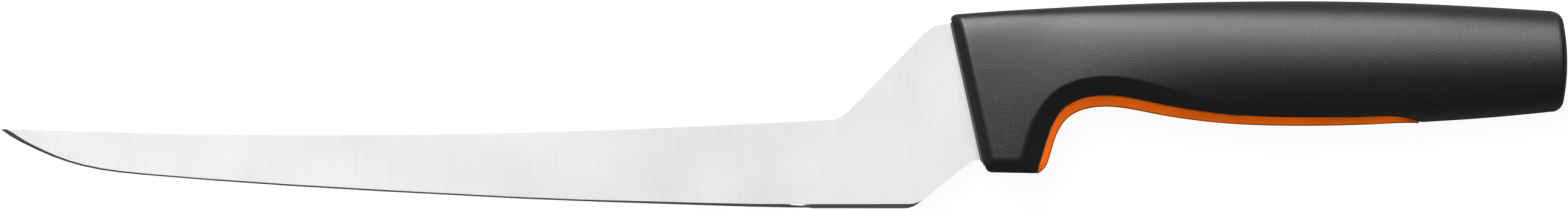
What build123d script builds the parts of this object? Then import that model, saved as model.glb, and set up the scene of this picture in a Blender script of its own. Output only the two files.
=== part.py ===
from build123d import *
from math import copysign, cos, pi, radians, sin, tan
import os

os.makedirs("parts", exist_ok=True)

# A fillet knife that lies on its side.
# X runs from the tip to the butt, Y from the cutting edge to the back, Z through the thickness.
# The knife rests on z = 0, and the origin is under the middle of its outline.
# "Along" is measured from the upper front corner of the handle, "up" from a base line under the tip.

# Sizes of the whole knife
blade_length = 218.3  # from the tip to the upper front corner of the handle
handle_length = 142.0  # from that corner to the end of the butt
handle_rise = 29.6  # highest point of the handle's back above the base line
edge_drop = 17.95  # lowest point of the cutting edge below the base line
handle_half = 10.5  # half the thickness of the handle, at its flat sides
overrun = 5.0  # how far a cutting shape runs past what it cuts
side_overrun = 0.8  # the same for the rolled band, past the handle's sides

# Sizes of the blade
stock = 2.2  # thickness of the steel where the blade enters the handle
heel_thickness = 0.62  # thickness left behind the edge bevel at the heel
tip_thickness = 0.86  # thickness of the back at the tip
bevel_run = 2.93  # how far the edge bevel would climb a blade of full thickness
tip_lift = 0.2  # tip above the base line
spine_dip = 1.2  # lowest point of the back below the base line
spine_lift = 2.18  # height of the back where its last straight stretch begins
foot_ahead = 25.1  # lower corner of the ramp, ahead of the handle
foot_lead = 6.3  # straight stretch of the back before that corner
foot_lift = 0.32  # rise of that stretch
foot_radius = 6.8
ramp_top_ahead = 4.5  # upper corner of the ramp, ahead of the handle
ramp_top_fall = 1.0  # that corner below the place where the back enters the handle
ramp_top_radius = 9.0
heel_ahead = 8.7  # corner of the heel, ahead of the handle
heel_lead = 2.8  # level stretch of the edge before that corner
heel_radius = 5.4
heel_ramp_run = 14.0  # run of the ramp behind the heel
heel_top_radius = 4.5
back_entry_drop = 4.9  # where the back enters the handle, below the handle's highest point
heel_entry_cover = 3.1  # guard below the place where the blade's underside enters

# Sizes of the tang
tang_top_cover = 3.2  # carrier above the tang
tang_low_cover = 2.1  # carrier below the tang
tang_end_cover = 13.0  # carrier behind the tang
tang_upper_shoulder = 1.5  # shoulders of the tang behind the front of the handle
tang_lower_shoulder = 5.0
tang_shoulder_run = 2.0
tang_shoulder_radius = 0.6
tang_root_radius = 2.0
tang_end_radius = 2.0
tang_hole_diameter = 5.0
tang_hole_count = 3
tang_hole_spacing = 32.0
tang_hole_end_gap = 12.0  # centre of the last hole to the tang's end

# Sizes of the handle's front
front_slant = 12.49  # degrees that the front leans
brow_drop = 2.83  # where the leaning front would meet the blade's end, below the highest point
guard_drop = 9.9  # bottom of the finger guard below the base line
toe_height = 1.9  # steeper corner at the foot of the front
toe_run = 1.1
toe_lift = 0.25  # rise of the guard's bottom at its front
brow_front_half = 6.8  # half the width of the front face at the brow
toe_front_half = 7.6  # half the width of the front face at the toe
front_bevel = 2.6  # depth of the front bevel at the toe
foot_bevel = 2.4  # bevel along the guard's bottom

# Sizes of the handle's end
butt_radius = 48.0
butt_middle_drop = 14.0  # middle of the butt below the handle's highest point
butt_round = 2.8
brow_round = 1.6  # upper front corner of the handle

# Sizes of the finger side
band_width = 4.2  # rolled band between the flat side and the orange inlay
pocket_half = 7.0  # half the width of the pocket that the inlay fills
inlay_step = 0.2  # how far the inlay's sides lie inside the pocket
inlay_thickness = 2.66  # at the top of the finger arch
inlay_crown_radius = 12.0  # across the middle of the inlay
inlay_lap = 1.2  # how far the inlay's blank runs into the grip before it is trimmed

# Sizes of the carrier
core_half = 3.8
core_lip = 0.45  # how far the lip stands in front of the grip
core_top_cover = 0.6  # carrier above the blade's back, where it enters
core_foot_cover = 0.8  # carrier below the blade's underside, where it enters
core_end_cover = 17.0  # grip behind the carrier
core_arch_cover = 2.6  # grip between the carrier and the top of the finger arch
core_corner_radius = 1.0
core_arch_radius = 8.0
lock_hole_diameter = 4.5
lock_hole_end_gap = 6.5

# Places that follow from the sizes
overall_length = blade_length + handle_length
front_x = blade_length - overall_length / 2
level_y = (edge_drop - handle_rise) / 2
middle_z = handle_half
middle = Plane.XY.offset(middle_z)
brow_up = handle_rise - brow_drop
toe_up = toe_height - guard_drop
back_entry_up = handle_rise - back_entry_drop
heel_entry_up = heel_entry_cover - guard_drop
foot_up = spine_lift + foot_lift
arch_top_share = 0.269  # top of the finger arch, of the handle's rise
core_top = back_entry_up + core_top_cover
core_low = arch_top_share * handle_rise + core_arch_cover
core_end = handle_length - core_end_cover
tang_top_up = core_top - tang_top_cover
tang_low_up = core_low + tang_low_cover
tang_end = core_end - tang_end_cover


def spot(along, up):
    """A place on the knife's outline as X and Y."""
    return (front_x + along, level_y + up)


def front_along(up):
    """Where the leaning front stands at one height."""
    return max(0, brow_up - up) * tan(radians(front_slant))


def side_plane(side, *corners):
    """Plane that faces outwards, through three corners given as along, up and height over the middle."""
    first, second, third = [
        Vector(*spot(along, up), middle_z + side * height) for along, up, height in corners
    ]
    normal = (second - first).cross(third - first)
    return Plane(origin=first, z_dir=normal * copysign(1, normal.Z * side))


def set_back(places, widths):
    """Places on a smooth curve, each moved square to it by its width, to the left of its heading."""
    curve = Edge.make_spline([Vector(*place) for place in places])
    moved = []
    for place, width in zip(places, widths):
        heading = curve.tangent_at(curve.param_at_point(Vector(*place)))
        moved.append(Vector(*place) + heading.rotate(Axis.Z, 90) * width)
    return moved


# Blade
# The edge as shares of the blade's length from the tip, of the edge's drop and of the bevel's run
tip_bevel_share = 0.7
heel_bevel_share = 1.15
edge_shares = [
    (0.0124, 0.0925, 0.70),
    (0.0316, 0.2134, 0.68),
    (0.0509, 0.3192, 0.60),
    (0.0765, 0.4273, 0.50),
    (0.1150, 0.5248, 0.48),
    (0.1535, 0.5744, 0.45),
    (0.2304, 0.6496, 0.45),
    (0.3459, 0.7437, 0.50),
    (0.4613, 0.8217, 0.50),
    (0.5767, 0.8914, 0.50),
    (0.6922, 0.9395, 0.60),
    (0.7690, 0.9700, 0.75),
    (0.8460, 0.9910, 1.00),
    (0.8960, 0.9965, 1.10),
]
# The back as shares of the blade's length from the tip and of its dip
spine_shares = [
    (0.731, 0.680),
    (0.615, -0.135),
    (0.500, -0.683),
    (0.346, -1.0),
    (0.192, -0.767),
    (0.0765, -0.217),
]
tip_heading = (4, -3)


def blade_outline(height, bevel):
    """Face of the blade and tang at one height over the middle, with the edge set back by its bevel."""
    edge_row = [spot(-blade_length, tip_lift)]
    edge_row += [spot((share - 1) * blade_length, -drop * edge_drop) for share, drop, _ in edge_shares]
    edge_row += [spot(-heel_ahead - heel_lead, -edge_drop)]
    widths = [share * bevel for share in (tip_bevel_share, *[row[-1] for row in edge_shares])]
    heel_width = heel_bevel_share * bevel
    tip_shift = widths[0] / Vector(*tip_heading).normalized().Y
    heel_shift = heel_width * heel_ramp_run / (heel_entry_up + edge_drop)
    ramp_start = spot(-foot_ahead - foot_lead, spine_lift)
    entry_slope = ramp_top_fall / ramp_top_ahead
    shoulder = front_along(heel_entry_up) + tang_lower_shoulder
    with BuildSketch(middle.offset(height)) as outline:
        with BuildLine():
            lower = Spline(
                (edge_row[0][0] - tip_shift, edge_row[0][1]),
                *set_back(edge_row, [*widths, heel_width])[1:-1],
                (edge_row[-1][0], edge_row[-1][1] + heel_width),
                tangents=[tip_heading, (1, 0)],
            )
            rear = FilletPolyline(
                lower @ 1,
                spot(-heel_ahead + heel_shift, -edge_drop + heel_width),
                spot(heel_ramp_run - heel_ahead, heel_entry_up),
                spot(shoulder, heel_entry_up),
                spot(shoulder, tang_low_up),
                spot(tang_end, tang_low_up),
                spot(tang_end, tang_top_up),
                spot(tang_upper_shoulder + tang_shoulder_run, tang_top_up),
                spot(tang_upper_shoulder, back_entry_up + tang_upper_shoulder * entry_slope),
                spot(-ramp_top_ahead, back_entry_up - ramp_top_fall),
                spot(-foot_ahead, foot_up),
                ramp_start,
                radius=[
                    heel_radius,
                    heel_top_radius,
                    tang_shoulder_radius,
                    tang_root_radius,
                    tang_end_radius,
                    tang_end_radius,
                    tang_root_radius,
                    tang_shoulder_radius,
                    ramp_top_radius,
                    foot_radius,
                ],
            )
            Spline(
                rear @ 1,
                *[spot((share - 1) * blade_length, rise * spine_dip) for share, rise in spine_shares],
                lower @ 0,
            )
        make_face()
    return outline.sketch


with BuildPart() as blade:
    # The edge bevels rise from the sharp middle to both sides
    for height, bevel in ((-stock / 2, bevel_run), (0, 0), (stock / 2, bevel_run)):
        add(blade_outline(height, bevel))
    loft(ruled=True)
    # Each side is ground flat, thinner towards the edge and towards the tip
    for side in (1, -1):
        ground = side_plane(
            side,
            (-heel_ahead, back_entry_up, stock / 2),
            (-heel_ahead, -edge_drop, heel_thickness / 2),
            (-blade_length, 0, tip_thickness / 2),
        )
        split(bisect_by=ground, keep=Keep.BOTTOM)
    # Holes that the carrier's plastic flows through
    last_hole = tang_end - tang_hole_end_gap
    tang_holes = [
        spot(last_hole - number * tang_hole_spacing, (tang_top_up + tang_low_up) / 2)
        for number in range(tang_hole_count)
    ]
    with BuildSketch(middle):
        with Locations(*tang_holes):
            Circle(tang_hole_diameter / 2)
    extrude(amount=stock, both=True, mode=Mode.SUBTRACT)
blade.part.label = "blade"
export_step(blade.part, "parts/blade.step")


# Grip
# Each row is a section: along, its top, its widest place and its half thickness as shares, and how
# square its shoulders are
section_shares = [
    (-0.016, 0.8900, -0.175, 1.012, 7.0),
    (0.038, 0.9100, -0.175, 1.012, 6.5),
    (0.088, 0.9270, -0.127, 1.012, 6.0),
    (0.137, 0.9410, 0.024, 1.012, 5.0),
    (0.186, 0.9540, 0.193, 1.012, 4.2),
    (0.236, 0.9670, 0.330, 1.012, 3.7),
    (0.285, 0.9770, 0.410, 1.012, 3.3),
    (0.334, 0.9855, 0.462, 1.008, 3.0),
    (0.408, 0.9940, 0.495, 0.998, 2.7),
    (0.507, 1.0000, 0.514, 0.988, 2.4),
    (0.630, 0.9990, 0.5165, 0.978, 2.2),
    (0.749, 0.9835, 0.521, 0.960, 2.2),
    (0.877, 0.9534, 0.526, 0.925, 2.2),
    (0.965, 0.9277, 0.533, 0.888, 2.2),
    (1.025, 0.9090, 0.538, 0.860, 2.2),
]
section_points = 24


def rounded_section(half_height, half_width, squareness):
    """Points of a closed section that is crowned along its sides and squarer at its shoulders."""
    points = []
    for number in range(section_points):
        turn = 2 * pi * number / section_points
        rise = copysign(max(0, 1 - abs(sin(turn)) ** squareness) ** 0.5, cos(turn))
        points.append((half_height * rise, half_width * sin(turn)))
    return points


with BuildPart() as grip_body:
    for share, top_share, widest_share, half_share, squareness in section_shares:
        x, widest_y = spot(share * handle_length, widest_share * handle_rise)
        half_height = (top_share - widest_share) * handle_rise
        with BuildSketch(Plane.YZ.offset(x)):
            with BuildLine():
                points = rounded_section(half_height, half_share * handle_half, squareness)
                Spline(*[(widest_y + rise, middle_z + reach) for rise, reach in points], periodic=True)
            make_face()
    loft()

# Finger side: the pocket's curve from the guard's foot, round the arch and back along the grip, as
# shares of the handle's length and rise, with the inlay's thickness and half width there as shares
finger_shares = [
    (0.1395, -0.333, 0.15, 0.92),
    (0.1425, -0.292, 0.48, 0.98),
    (0.1480, -0.212, 0.66, 1.0),
    (0.1620, 0.0, 0.68, 1.0),
    (0.1860, 0.179, 0.90, 1.0),
    (0.2360, arch_top_share, 1.0, 1.0),
    (0.3340, 0.212, 0.95, 1.0),
    (0.4530, 0.123, 0.80, 1.0),
    (0.5810, 0.099, 0.72, 0.87),
    (0.6890, 0.106, 0.66, 0.80),
    (0.7390, 0.096, 0.45, 0.69),
    (0.7640, 0.062, 0.10, 0.30),
]
inlay_crown_share = 0.15
inlay_round_share = 0.5
finger_row = [
    spot(share * handle_length, up_share * handle_rise) for share, up_share, _, _ in finger_shares
]


def finger_outline(height, spread):
    """Face below the pocket's curve at one height over the middle, with the curve moved up by a spread."""
    moved = set_back(finger_row, [spread] * len(finger_row))
    low = level_y - edge_drop - overrun
    with BuildSketch(middle.offset(height)) as outline:
        with BuildLine():
            curve = Spline(*moved)
            Polyline(curve @ 0, ((curve @ 0).X, low), ((curve @ 1).X, low), curve @ 1)
        make_face()
    return outline.sketch


with BuildPart() as finger_pocket:
    out = handle_half + side_overrun
    flare = band_width * (out - pocket_half) / (handle_half - pocket_half)
    for height, spread in ((-out, flare), (-pocket_half, 0), (pocket_half, 0), (out, flare)):
        add(finger_outline(height, spread))
    loft(ruled=True)

# Carrier
# Rear of its foot, at the bottom and where the foot meets the bar, as shares of the handle's length
core_foot_share = 0.1196
core_arch_share = 0.1731

with BuildPart() as core_blank:
    with BuildSketch(middle):
        core_foot = heel_entry_up - core_foot_cover
        with BuildLine():
            FilletPolyline(
                spot(front_along(core_top) - core_lip, core_top),
                spot(front_along(core_foot) - core_lip, core_foot),
                spot(core_foot_share * handle_length, core_foot),
                spot(core_arch_share * handle_length, core_low),
                spot(core_end, core_low),
                spot(core_end, core_top),
                radius=[
                    core_corner_radius,
                    core_corner_radius,
                    core_corner_radius,
                    core_arch_radius,
                    core_corner_radius,
                    core_corner_radius,
                ],
                close=True,
            )
        make_face()
    extrude(amount=core_half, both=True)
    # Holes that the grip's rubber locks into
    with BuildSketch(middle):
        with Locations(spot(core_end - lock_hole_end_gap, (core_top + core_low) / 2)):
            Circle(lock_hole_diameter / 2)
    extrude(amount=core_half, both=True, mode=Mode.SUBTRACT)

with BuildPart() as handle_core:
    add(core_blank.part)
    add(blade.part, mode=Mode.SUBTRACT)
handle_core.part.label = "handle_core"
export_step(handle_core.part, "parts/handle_core.step")

with BuildPart() as grip_shell:
    add(grip_body.part)
    # Leaning front, bottom of the guard and curved butt
    butt_up = handle_rise - butt_middle_drop
    butt_reach = butt_up + guard_drop
    high = butt_up + butt_reach
    butt_corner = handle_length - butt_radius + (butt_radius**2 - butt_reach**2) ** 0.5
    with BuildSketch(Plane.XY):
        with BuildLine():
            Polyline(
                spot(butt_corner, high),
                spot(0, high),
                spot(0, brow_up),
                spot(front_along(toe_up), toe_up),
                spot(front_along(toe_up) + toe_run, toe_lift - guard_drop),
                (finger_row[0][0], level_y - guard_drop),
                spot(butt_corner, -guard_drop),
            )
            ThreePointArc(
                spot(butt_corner, -guard_drop), spot(handle_length, butt_up), spot(butt_corner, high)
            )
        make_face()
    extrude(amount=2 * handle_half, mode=Mode.INTERSECT)
    fillet(grip_shell.faces().sort_by(Axis.X)[-1].edges(), butt_round)
    for side in (1, -1):
        front_face = side_plane(
            side,
            (0, brow_up, brow_front_half),
            (front_along(toe_up), toe_up, toe_front_half),
            (front_along(toe_up) + front_bevel, toe_up, handle_half),
        )
        split(bisect_by=front_face, keep=Keep.BOTTOM)
        foot_face = side_plane(
            side,
            (0, -guard_drop, handle_half - foot_bevel),
            (handle_length, -guard_drop, handle_half - foot_bevel),
            (0, foot_bevel - guard_drop, handle_half),
        )
        split(bisect_by=foot_face, keep=Keep.BOTTOM)
    brow_edge = grip_shell.faces().sort_by(Axis.X)[0].edges().sort_by(Axis.Y)[-1]
    fillet(brow_edge, brow_round)
    add(finger_pocket.part, mode=Mode.SUBTRACT)
    add(core_blank.part, mode=Mode.SUBTRACT)
grip_shell.part.label = "grip_shell"
export_step(grip_shell.part, "parts/grip_shell.step")

with BuildPart() as finger_inlay:
    # Sections square to the pocket's curve, crowned towards the finger
    with BuildLine(middle, mode=Mode.PRIVATE):
        path = Spline(*finger_row)
    for place, (_, _, thickness_share, half_share) in zip(finger_row, finger_shares):
        at = path.param_at_point(Vector(*place, middle_z))
        thickness = thickness_share * inlay_thickness
        half = half_share * (pocket_half - inlay_step)
        with BuildSketch(Plane(origin=path @ at, x_dir=(0, 0, 1), z_dir=path % at)):
            with BuildLine():
                shoulder = thickness * (1 - inlay_crown_share)
                sides = FilletPolyline(
                    (half, -inlay_lap),
                    (half, shoulder),
                    (0, thickness),
                    (-half, shoulder),
                    (-half, -inlay_lap),
                    radius=[shoulder * inlay_round_share, inlay_crown_radius, shoulder * inlay_round_share],
                )
                Line(sides @ 1, sides @ 0)
            make_face()
    loft()
    add(finger_pocket.part, mode=Mode.INTERSECT)
finger_inlay.part.label = "finger_inlay"
export_step(finger_inlay.part, "parts/finger_inlay.step")
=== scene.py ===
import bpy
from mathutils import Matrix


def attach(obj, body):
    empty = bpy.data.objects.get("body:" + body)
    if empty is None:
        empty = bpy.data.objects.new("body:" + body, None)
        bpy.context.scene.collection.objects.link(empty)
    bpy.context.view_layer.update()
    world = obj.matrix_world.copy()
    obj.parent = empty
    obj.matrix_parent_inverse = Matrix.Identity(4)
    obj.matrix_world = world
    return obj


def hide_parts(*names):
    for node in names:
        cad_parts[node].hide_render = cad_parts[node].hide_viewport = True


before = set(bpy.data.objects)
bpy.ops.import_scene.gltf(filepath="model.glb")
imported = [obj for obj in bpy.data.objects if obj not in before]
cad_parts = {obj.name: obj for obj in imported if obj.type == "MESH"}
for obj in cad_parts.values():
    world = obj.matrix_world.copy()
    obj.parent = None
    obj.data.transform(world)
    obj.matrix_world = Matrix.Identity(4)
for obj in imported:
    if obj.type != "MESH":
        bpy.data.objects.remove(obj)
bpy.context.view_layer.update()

from math import cos, pi, radians, sin, tan

import bmesh
import bpy
import numpy as np

# A fillet knife that lies on its side, seen from straight above.
# X runs from the tip to the butt, Y from the cutting edge to the back, Z up. Lengths are in metres.

# Sizes of the picture
VIEW_WIDTH = 0.36064
VIEW_CENTRE = (0.0, 0.00008)
CAMERA_HEIGHT = 1.0

# Room and light
FLOOR_SIZE = 60.0
FLOOR_DROP = 0.0002  # gap under the knife
FLOOR_SHADE = 0.15
CAMERA_LIFT = 0.95  # glow of the floor in the camera's rays
MIRRORED_LIFT = 0.05  # its glow in reflections
ROOM_LIGHT = 0.11
LAMP_DISTANCE = 2.0
LAMP_LEFT = -0.9
LAMP_RIGHT = 0.12

# Sizes of the knife that place the handle
BLADE_LENGTH = 0.2183
EDGE_DROP = 0.01795  # lowest place of the edge below the level of the tip
HANDLE_LENGTH = 0.142
HANDLE_RISE = 0.0296  # top of the handle above the level of the tip
HANDLE_HALF = 0.0105  # half its thickness

# The upper front corner of the handle is where along is 0. Up is measured from the level of the tip
FRONT_X = (BLADE_LENGTH - HANDLE_LENGTH) / 2
LEVEL_Y = (EDGE_DROP - HANDLE_RISE) / 2
MIDDLE_Z = HANDLE_HALF

# Sizes of the grip's front and finger guard
FRONT_SLANT = radians(12.49)
BROW_UP = HANDLE_RISE - 0.00283
BROW_ROUND = 0.0016
TOE_ROUND = 0.0016
TOE_LIFT = 0.00025
GUARD_UP = -0.0099
FRONT_BEVEL = 0.0021
FRONT_CREASE = 0.0010
FOOT_BEVEL = 0.0024
FOOT_CREASE = 0.0012
RIM_ROUND = 0.0003

# Sizes of the butt
BUTT_RADIUS = 0.048
BUTT_UP = HANDLE_RISE - 0.014  # its middle
BUTT_TOP_UP = 0.0273
BUTT_LOW_UP = 0.0042
BUTT_CORNER = 0.003  # in the outline
BUTT_ROUND = 0.0012  # along the sides

# Sizes of the pocket and the rolled band over it
POCKET_HALF = 0.007
BAND_WIDTH = 0.0042
BAND_CREASE = 0.0002

# Sizes of the inlay
INLAY_THICKNESS = 0.00266
INLAY_HALF = 0.0068
INLAY_CROWN_SHARE = 0.04
INLAY_CROWN_START_SHARE = 0.85  # of the half width, where the crown begins
INLAY_EDGE_ROUND = 0.0003
INLAY_FALL = 0.45  # slope of its sides away from the grip, at its rear

# Meshes
CURVE_POINTS = 900  # along the pocket
BAND_STEP = 2  # every second of them places the band
INLAY_STEP = 6  # and every sixth a section of the inlay
INLAY_ROUND_PLACES = 7
INLAY_CROWN_PLACES = 8
LEAN_END = 0.0197  # rows of the grip's mesh lean with the front up to here
BOW_START = 0.118  # and bow with the butt from here on
BUTT_SPAN = 0.006
# Rows of places along the grip, as start, end and number
GRIP_SPANS = [(0, 0.0032, 17), (0.0032, LEAN_END, 22), (LEAN_END, 0.0270, 50), (0.0270, 0.1360, 100)]
BUTT_ROWS = 24
ROW_PLACES = 112
ROW_ROUNDS = 4  # tries after which the rows stay in place
WALL_STEPS = 6
WELD_GAP = 0.000001
SHARP_TURN = radians(30)


# Camera
camera_data = bpy.data.cameras.new("camera")
camera_data.type = "ORTHO"
camera_data.ortho_scale = VIEW_WIDTH
camera = bpy.data.objects.new("camera", camera_data)
camera.location = (*VIEW_CENTRE, CAMERA_HEIGHT)
bpy.context.scene.collection.objects.link(camera)
bpy.context.scene.camera = camera
bpy.context.scene.view_settings.view_transform = "Standard"


# Materials
def new_material(name):
    """An empty node material, with one helper that adds nodes to it and one that links them."""
    material = bpy.data.materials.new(name)
    material.use_nodes = True
    tree = material.node_tree
    tree.nodes.clear()

    def add(kind, **settings):
        node = tree.nodes.new(kind)
        for key, value in settings.items():
            if key in node.inputs:
                node.inputs[key].default_value = value
            else:
                setattr(node, key, value)
        return node

    return material, add, tree.links.new


def map_range(add, source, result):
    """A node that maps one range of values to another."""
    node = add("ShaderNodeMapRange")
    keys = ("From Min", "From Max", "To Min", "To Max")
    for key, value in zip(keys, (*source, *result)):
        node.inputs[key].default_value = value
    return node


def steel_material():
    """Brushed steel with fine lines from the back to the edge, and a smoother edge bevel whose base colour
    is darkened as painted shade.
    """
    material, add, link = new_material("blade_steel")
    place = add("ShaderNodeTexCoord")
    stretch = add("ShaderNodeMapping", Scale=(9000.0, 110.0, 110.0))
    brush = add("ShaderNodeTexNoise", Scale=1.0, Detail=4.0, Roughness=0.7)
    cloud = add("ShaderNodeTexNoise", Scale=45.0, Detail=2.0, Roughness=0.5)
    shade = map_range(add, (0.3, 0.7), (0.775, 0.855))
    rough = map_range(add, (0.35, 0.65), (0.44, 0.52))
    # The flat leans by about one degree and the bevel by twenty, so its normal points up less
    lean = add("ShaderNodeSeparateXYZ")
    bevel = map_range(add, (0.995, 0.96), (0.0, 1.0))
    # Painted shade: the bevel's base colour is mixed down to 0.5; its lower roughness is its real finish
    bevel_painted_shade = add("ShaderNodeMix", data_type="FLOAT", B=0.5)
    polish = add("ShaderNodeMix", data_type="FLOAT", B=0.3)
    tint = add("ShaderNodeCombineColor")
    bump = add("ShaderNodeBump", Strength=0.12, Distance=0.00002)
    steel = add("ShaderNodeBsdfPrincipled", Metallic=1.0)
    out = add("ShaderNodeOutputMaterial")
    link(place.outputs["Object"], stretch.inputs["Vector"])
    link(stretch.outputs["Vector"], brush.inputs["Vector"])
    link(place.outputs["Object"], cloud.inputs["Vector"])
    link(place.outputs["Normal"], lean.inputs["Vector"])
    link(lean.outputs["Z"], bevel.inputs["Value"])
    link(brush.outputs["Fac"], shade.inputs["Value"])
    link(bevel.outputs["Result"], bevel_painted_shade.inputs["Factor"])
    link(shade.outputs["Result"], bevel_painted_shade.inputs["A"])
    for channel in ("Red", "Green", "Blue"):
        link(bevel_painted_shade.outputs["Result"], tint.inputs[channel])
    link(tint.outputs["Color"], steel.inputs["Base Color"])
    link(cloud.outputs["Fac"], rough.inputs["Value"])
    link(bevel.outputs["Result"], polish.inputs["Factor"])
    link(rough.outputs["Result"], polish.inputs["A"])
    link(polish.outputs["Result"], steel.inputs["Roughness"])
    link(brush.outputs["Fac"], bump.inputs["Height"])
    link(bump.outputs["Normal"], steel.inputs["Normal"])
    link(steel.outputs["BSDF"], out.inputs["Surface"])
    return material


def moulded_material(name, dark, light, roughness, shine, grain, depth):
    """Moulded rubber or plastic with a fine grain and a slight change of shade."""
    material, add, link = new_material(name)
    place = add("ShaderNodeTexCoord")
    cloud = add("ShaderNodeTexNoise", Scale=160.0, Detail=3.0, Roughness=0.55)
    speck = add("ShaderNodeTexNoise", Scale=grain, Detail=1.5, Roughness=0.6)
    bump = add("ShaderNodeBump", Strength=0.35, Distance=depth)
    body = add("ShaderNodeBsdfPrincipled", Roughness=roughness, **{"Specular IOR Level": shine})
    ramp = add("ShaderNodeValToRGB")
    ramp.color_ramp.elements[0].position = 0.3
    ramp.color_ramp.elements[0].color = (*dark, 1.0)
    ramp.color_ramp.elements[1].position = 0.7
    ramp.color_ramp.elements[1].color = (*light, 1.0)
    out = add("ShaderNodeOutputMaterial")
    link(place.outputs["Object"], cloud.inputs["Vector"])
    link(place.outputs["Object"], speck.inputs["Vector"])
    link(cloud.outputs["Fac"], ramp.inputs["Fac"])
    link(ramp.outputs["Color"], body.inputs["Base Color"])
    link(speck.outputs["Fac"], bump.inputs["Height"])
    link(bump.outputs["Normal"], body.inputs["Normal"])
    link(body.outputs["BSDF"], out.inputs["Surface"])
    return material


def floor_material():
    """Floor lifted to white for the camera and a little in reflections, which keeps the knife's shadow."""
    material, add, link = new_material("floor")
    rays = add("ShaderNodeLightPath")
    mirrored = add("ShaderNodeMath", operation="MAXIMUM")
    part = add("ShaderNodeMath", operation="MULTIPLY")
    part.inputs[1].default_value = MIRRORED_LIFT / CAMERA_LIFT
    seen = add("ShaderNodeMath", operation="MAXIMUM")
    lift = add("ShaderNodeMath", operation="MULTIPLY")
    lift.inputs[1].default_value = CAMERA_LIFT
    glow = add("ShaderNodeEmission", Color=(1.0, 1.0, 1.0, 1.0))
    pale = add("ShaderNodeBsdfDiffuse", Color=(FLOOR_SHADE, FLOOR_SHADE, FLOOR_SHADE, 1.0))
    both = add("ShaderNodeAddShader")
    out = add("ShaderNodeOutputMaterial")
    link(rays.outputs["Is Glossy Ray"], mirrored.inputs[0])
    link(rays.outputs["Is Transmission Ray"], mirrored.inputs[1])
    link(mirrored.outputs["Value"], part.inputs[0])
    link(rays.outputs["Is Camera Ray"], seen.inputs[0])
    link(part.outputs["Value"], seen.inputs[1])
    link(seen.outputs["Value"], lift.inputs[0])
    link(lift.outputs["Value"], glow.inputs["Strength"])
    link(glow.outputs["Emission"], both.inputs[0])
    link(pale.outputs["BSDF"], both.inputs[1])
    link(both.outputs["Shader"], out.inputs["Surface"])
    return material


materials = {
    "blade": steel_material(),
    "handle_core": moulded_material(
        "core_plastic",
        dark=(0.062, 0.072, 0.086),
        light=(0.078, 0.088, 0.104),
        roughness=0.38,
        shine=0.5,
        grain=2600.0,
        depth=0.00001,
    ),
    "grip_shell": moulded_material(
        "grip_rubber",
        dark=(0.0095, 0.0100, 0.0110),
        light=(0.0125, 0.0130, 0.0142),
        roughness=0.31,
        shine=0.5,
        grain=5400.0,
        depth=0.00018,
    ),
    "finger_inlay": moulded_material(
        "inlay_rubber",
        dark=(0.76, 0.112, 0.001),
        light=(0.82, 0.130, 0.002),
        roughness=0.6,
        shine=0.12,
        grain=2800.0,
        depth=0.00003,
    ),
}
for name, material in materials.items():
    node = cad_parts[name]
    node.data.materials.clear()
    node.data.materials.append(material)


# Curves and sections that the grip and the inlay share
# Each row is a section of the grip: along, its top, its widest place and its half thickness as
# shares, and how square its shoulders are
SECTION_SHARES = [
    (-0.016, 0.8900, -0.175, 1.0, 7.0),
    (0.038, 0.9100, -0.175, 1.0, 6.5),
    (0.088, 0.9270, -0.127, 1.0, 6.0),
    (0.137, 0.9410, 0.024, 1.0, 5.0),
    (0.186, 0.9540, 0.193, 1.0, 4.2),
    (0.236, 0.9670, 0.330, 1.0, 3.7),
    (0.285, 0.9770, 0.410, 1.0, 3.3),
    (0.334, 0.9855, 0.462, 0.998, 3.0),
    (0.408, 0.9940, 0.495, 0.992, 2.7),
    (0.507, 1.0000, 0.514, 0.985, 2.4),
    (0.630, 0.9990, 0.5165, 0.977, 2.2),
    (0.749, 0.9835, 0.521, 0.960, 2.2),
    (0.877, 0.9534, 0.526, 0.925, 2.2),
    (0.965, 0.9277, 0.533, 0.888, 2.2),
    (1.025, 0.9090, 0.538, 0.860, 2.2),
]
# The pocket's curve on the finger side, as shares of the handle's length and rise, and the inlay's
# thickness and half width there as shares
FINGER_SHARES = [
    (0.1395, -0.333, 0.15, 0.92),
    (0.1425, -0.292, 0.48, 0.98),
    (0.1480, -0.212, 0.66, 1.0),
    (0.1620, 0.0, 0.68, 1.0),
    (0.1860, 0.179, 0.90, 1.0),
    (0.2360, 0.269, 1.0, 1.0),
    (0.3340, 0.212, 0.95, 1.0),
    (0.4530, 0.123, 0.80, 1.0),
    (0.5810, 0.099, 0.72, 0.87),
    (0.6890, 0.106, 0.66, 0.80),
    (0.7390, 0.096, 0.45, 0.69),
    (0.7640, 0.062, 0.10, 0.30),
]


def smooth_rows(knots, rows, places):
    """Values of a natural cubic spline through rows that stand at knots."""
    knots, rows, places = np.array(knots), np.array(rows), np.asarray(places)
    count = len(knots)
    gaps = np.diff(knots)
    system = np.eye(count)
    right = np.zeros((count, rows.shape[1]))
    for i in range(1, count - 1):
        system[i, i - 1 : i + 2] = gaps[i - 1], 2 * (gaps[i - 1] + gaps[i]), gaps[i]
        right[i] = 6 * ((rows[i + 1] - rows[i]) / gaps[i] - (rows[i] - rows[i - 1]) / gaps[i - 1])
    bends = np.linalg.solve(system, right)
    low = np.clip(np.searchsorted(knots, places) - 1, 0, count - 2)
    gap = gaps[low][..., None]
    after = (places - knots[low])[..., None]
    before = gap - after
    return (
        (bends[low] * before**3 + bends[low + 1] * after**3) / (6 * gap)
        + (rows[low] / gap - bends[low] * gap / 6) * before
        + (rows[low + 1] / gap - bends[low + 1] * gap / 6) * after
    )


def pocket_curve(count):
    """Points of the pocket's curve, bottom end first: along, up, the inlay's thickness and half width."""
    rows = np.array(FINGER_SHARES) * (HANDLE_LENGTH, HANDLE_RISE, INLAY_THICKNESS, INLAY_HALF)
    knots = np.concatenate([[0], np.cumsum(np.linalg.norm(np.diff(rows[:, :2], axis=0), axis=1))])
    return smooth_rows(knots, rows, np.linspace(0, knots[-1], count))


INLAY_CURVE = pocket_curve(CURVE_POINTS)
CURVE = INLAY_CURVE[:, :2]


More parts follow.
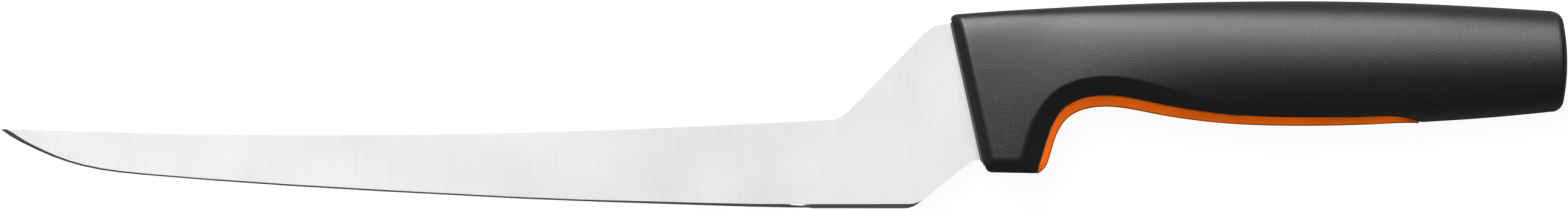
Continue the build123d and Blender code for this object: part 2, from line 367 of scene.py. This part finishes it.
def ringed_object(name, rings, ends, material):
    """An object from closed rings of places, with the same faces at both ends as lists of numbers."""
    form = bmesh.new()
    rows = [[form.verts.new(place) for place in ring] for ring in rings]
    for ring, following in zip(rows, rows[1:]):
        for i in range(len(ring)):
            j = (i + 1) % len(ring)
            form.faces.new((ring[i], following[i], following[j], ring[j]))
    for ring in (rows[0], rows[-1]):
        for corners in ends:
            form.faces.new([ring[i] for i in corners])
    bmesh.ops.remove_doubles(form, verts=form.verts, dist=WELD_GAP)
    bmesh.ops.recalc_face_normals(form, faces=form.faces)
    for face in form.faces:
        face.smooth = True
    for edge in form.edges:
        edge.smooth = edge.calc_face_angle(0) < SHARP_TURN
    mesh = bpy.data.meshes.new(name)
    form.to_mesh(mesh)
    form.free()
    mesh.materials.append(material)
    piece = bpy.data.objects.new(name, mesh)
    bpy.context.scene.collection.objects.link(piece)
    return piece


# Grip
def section_at(along):
    """Top, widest place, half thickness and squareness of the grip's body at places along it."""
    share = np.clip(along / HANDLE_LENGTH, SECTION_SHARES[0][0], SECTION_SHARES[-1][0])
    rows = smooth_rows([row[0] for row in SECTION_SHARES], [row[1:] for row in SECTION_SHARES], share)
    return (
        rows[..., 0] * HANDLE_RISE,
        rows[..., 1] * HANDLE_RISE,
        np.minimum(rows[..., 2], 1.0) * HANDLE_HALF,
        rows[..., 3],
    )


def front_along(up):
    """Where the leaning front stands at one height."""
    return np.maximum(0, BROW_UP - up) * tan(FRONT_SLANT)


def butt_corner(up):
    """Height over the butt's middle, and the centre of the rounded corner at that end of the butt."""
    over = up - BUTT_UP
    reach = np.where(over > 0, BUTT_TOP_UP - BUTT_UP, BUTT_UP - BUTT_LOW_UP) - BUTT_CORNER
    along = HANDLE_LENGTH - BUTT_RADIUS + np.sqrt((BUTT_RADIUS - BUTT_CORNER) ** 2 - reach**2)
    return np.abs(over), along, reach


def butt_along(up):
    """Where the curved butt stands at one height, rounded at its corners."""
    over, corner_along, reach = butt_corner(up)
    arc = HANDLE_LENGTH - BUTT_RADIUS + np.sqrt(BUTT_RADIUS**2 - over**2)
    rest = np.clip(over - reach, 0, BUTT_CORNER)
    round_corner = corner_along + np.sqrt(BUTT_CORNER**2 - rest**2)
    return np.where(over > reach * BUTT_RADIUS / (BUTT_RADIUS - BUTT_CORNER), round_corner, arc)


def butt_gap(along, up):
    """Distance to the butt's outline."""
    over, corner_along, reach = butt_corner(up)
    arc = BUTT_RADIUS - np.hypot(np.maximum(along - HANDLE_LENGTH + BUTT_RADIUS, 0), over)
    round_corner = BUTT_CORNER - np.hypot(along - corner_along, over - reach)
    in_corner = (along > corner_along) & (over > reach * BUTT_RADIUS / (BUTT_RADIUS - BUTT_CORNER))
    return np.where(in_corner, round_corner, arc)


def round_off(distance, radius):
    """How far a rounded edge falls back at one distance from the neighbouring face."""
    rest = np.clip(radius - distance, 0, radius)
    return radius - np.sqrt(radius**2 - rest**2)


def soft_min(first, second, blend):
    """The smaller of two heights, with a round crease where they meet."""
    share = np.maximum(blend - np.abs(first - second), 0) / blend
    return np.minimum(first, second) - share**2 * blend / 4


def side_height(along, up):
    """Half thickness of the grip at places on its side."""
    top, widest, half, square = section_at(along)
    rise = np.clip((up - widest) / (top - widest), -1, 1)
    height = half * (1 - rise**2) ** (1 / square)
    behind = along - front_along(up)
    height = soft_min(height, height - FRONT_BEVEL + behind, FRONT_CREASE)
    height = soft_min(height, HANDLE_HALF - FOOT_BEVEL + up - GUARD_UP, FOOT_CREASE)
    # The rolled band rises from the pocket's rim, square to its curve
    places = np.stack([along, up], axis=-1).reshape(-1, 1, 2)
    gaps = np.sqrt(((places - CURVE[None, ::BAND_STEP]) ** 2).sum(axis=-1))
    near = gaps.min(axis=-1).reshape(along.shape)
    band = POCKET_HALF + (HANDLE_HALF - POCKET_HALF) * near / BAND_WIDTH
    height = soft_min(height, band, BAND_CREASE)
    height = height - round_off(behind, RIM_ROUND) - round_off(butt_gap(along, up), BUTT_ROUND)
    return np.maximum(height, 0)


def grip_rows():
    """Places on the grip's side as along and up: one row of places at each station, bottom to top."""
    spans = [np.linspace(start, end, number)[:-1] for start, end, number in GRIP_SPANS]
    butt_rows = HANDLE_LENGTH - BUTT_SPAN * np.cos(np.linspace(0, pi / 2, BUTT_ROWS))
    share = (1 - np.cos(np.linspace(0, pi, ROW_PLACES))) / 2
    station = np.concatenate([*spans, butt_rows])[:, None]
    lean = np.clip(1 - station / LEAN_END, 0, 1)
    bow = np.clip((station - BOW_START) / (HANDLE_LENGTH - BOW_START), 0, 1)
    along = np.repeat(station, len(share), axis=1)
    for _ in range(ROW_ROUNDS):
        top, widest, _, _ = section_at(along)
        low = np.where(
            station < CURVE[0, 0],
            GUARD_UP + TOE_LIFT * (1 - station / CURVE[0, 0]),
            np.interp(station, CURVE[:, 0], CURVE[:, 1], right=-1),
        )
        low = np.maximum(low, 2 * widest - top)
        top = top - round_off(along - front_along(top), BROW_ROUND)
        low = low + round_off(along - front_along(low), TOE_ROUND)
        up = low + (top - low) * share
        along = station + lean * front_along(up) - bow * (HANDLE_LENGTH - butt_along(up))
    return along, up


def grip_piece():
    """The whole grip as one mesh: both sides, the walls under them, the front and the butt."""
    along, up = grip_rows()
    height = side_height(along, up)
    height[:, -1] = 0
    last = len(along[0]) - 1
    rings = []
    for x, y, rise in zip(FRONT_X + along, LEVEL_Y + up, height):
        ring = [(x[i], y[i], MIDDLE_Z + rise[i]) for i in range(last + 1)]
        ring += [(x[i], y[i], MIDDLE_Z - rise[i]) for i in range(last - 1, -1, -1)]
        wall = [MIDDLE_Z - rise[0] * (1 - 2 * step / WALL_STEPS) for step in range(1, WALL_STEPS)]
        ring += [(x[0], y[0], z) for z in wall]
        rings.append(ring)
    # Across each end, strips from one side to the other, the last of them with three corners
    ends = [dict.fromkeys([i, i + 1, 2 * last - i - 1, 2 * last - i]) for i in range(last)]
    grip = ringed_object("grip", rings, ends, materials["grip_shell"])
    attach(grip, "root")
    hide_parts("grip_shell")


grip_piece()


# Inlay
def inlay_section(thickness, half, fall_share):
    """Closed section of the inlay as places out from the pocket and up from the middle plane."""
    shoulder = thickness * (1 - INLAY_CROWN_SHARE)
    corner = min(INLAY_EDGE_ROUND, shoulder / 3)
    fall = INLAY_FALL * fall_share * (shoulder - corner)
    high = half - min(fall, half / 2)
    upper = [(0, half)]
    for turn in np.linspace(0, pi / 2, INLAY_ROUND_PLACES):
        upper.append((shoulder + corner * (sin(turn) - 1), high + corner * (cos(turn) - 1)))
    for share in np.linspace(INLAY_CROWN_START_SHARE, 0, INLAY_CROWN_PLACES):
        upper.append((shoulder + (thickness - shoulder) * (1 - share**2), (high - corner) * share))
    return upper + [(out, -height) for out, height in upper[-2::-1]]


def inlay_piece():
    """The inlay as a strip along the pocket's curve, with sloped sides, small rounds and a crown."""
    rows = INLAY_CURVE[::INLAY_STEP]
    heading = np.gradient(rows[:, :2], axis=0)
    heading /= np.linalg.norm(heading, axis=1)[:, None]
    outward = np.stack([heading[:, 1], -heading[:, 0]], axis=1)
    rings = []
    for number, (along, up, thickness, half) in enumerate(rows):
        ring = []
        for out, height in inlay_section(thickness, half, min(1, 2 * number / len(rows))):
            x, y = (FRONT_X + along, LEVEL_Y + up) + outward[number] * out
            ring.append((x, y, MIDDLE_Z + height))
        rings.append(ring)
    inlay = ringed_object("inlay", rings, [range(len(rings[0]))], materials["finger_inlay"])
    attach(inlay, "root")
    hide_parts("finger_inlay")


inlay_piece()


# Floor
floor_mesh = bpy.data.meshes.new("floor")
form = bmesh.new()
bmesh.ops.create_grid(form, x_segments=1, y_segments=1, size=FLOOR_SIZE / 2)
form.to_mesh(floor_mesh)
form.free()
floor = bpy.data.objects.new("floor", floor_mesh)
floor.location.z = -FLOOR_DROP
floor_mesh.materials.append(floor_material())
bpy.context.scene.collection.objects.link(floor)


# Light
# A curved row of soft lamps over the knife's back, brightest in its far half. Each is given by its
# lower and upper angle from straight above, in degrees, and by its radiance
LAMPS = [(2, 14, 1.6), (14, 38, 6.9), (38, 50, 12.3), (50, 74, 15.4), (74, 86, 3.4)]

for number, (lower, upper, radiance) in enumerate(LAMPS):
    lamp_data = bpy.data.lights.new(f"lamp_{number}", "AREA")
    lamp_data.shape = "RECTANGLE"
    lamp_data.size = LAMP_RIGHT - LAMP_LEFT
    lamp_data.size_y = 2 * LAMP_DISTANCE * tan(radians(upper - lower) / 2)
    lamp_data.energy = radiance * pi * lamp_data.size * lamp_data.size_y
    lamp = bpy.data.objects.new(f"lamp_{number}", lamp_data)
    tilt = radians(lower + upper) / 2
    lamp.location = ((LAMP_LEFT + LAMP_RIGHT) / 2, LAMP_DISTANCE * sin(tilt), LAMP_DISTANCE * cos(tilt))
    lamp.rotation_euler.x = -tilt
    lamp.visible_camera = False
    bpy.context.scene.collection.objects.link(lamp)

world = bpy.data.worlds.new("room")
world.use_nodes = True
world.node_tree.nodes["Background"].inputs["Color"].default_value = (1.0, 1.0, 1.0, 1.0)
world.node_tree.nodes["Background"].inputs["Strength"].default_value = ROOM_LIGHT
bpy.context.scene.world = world
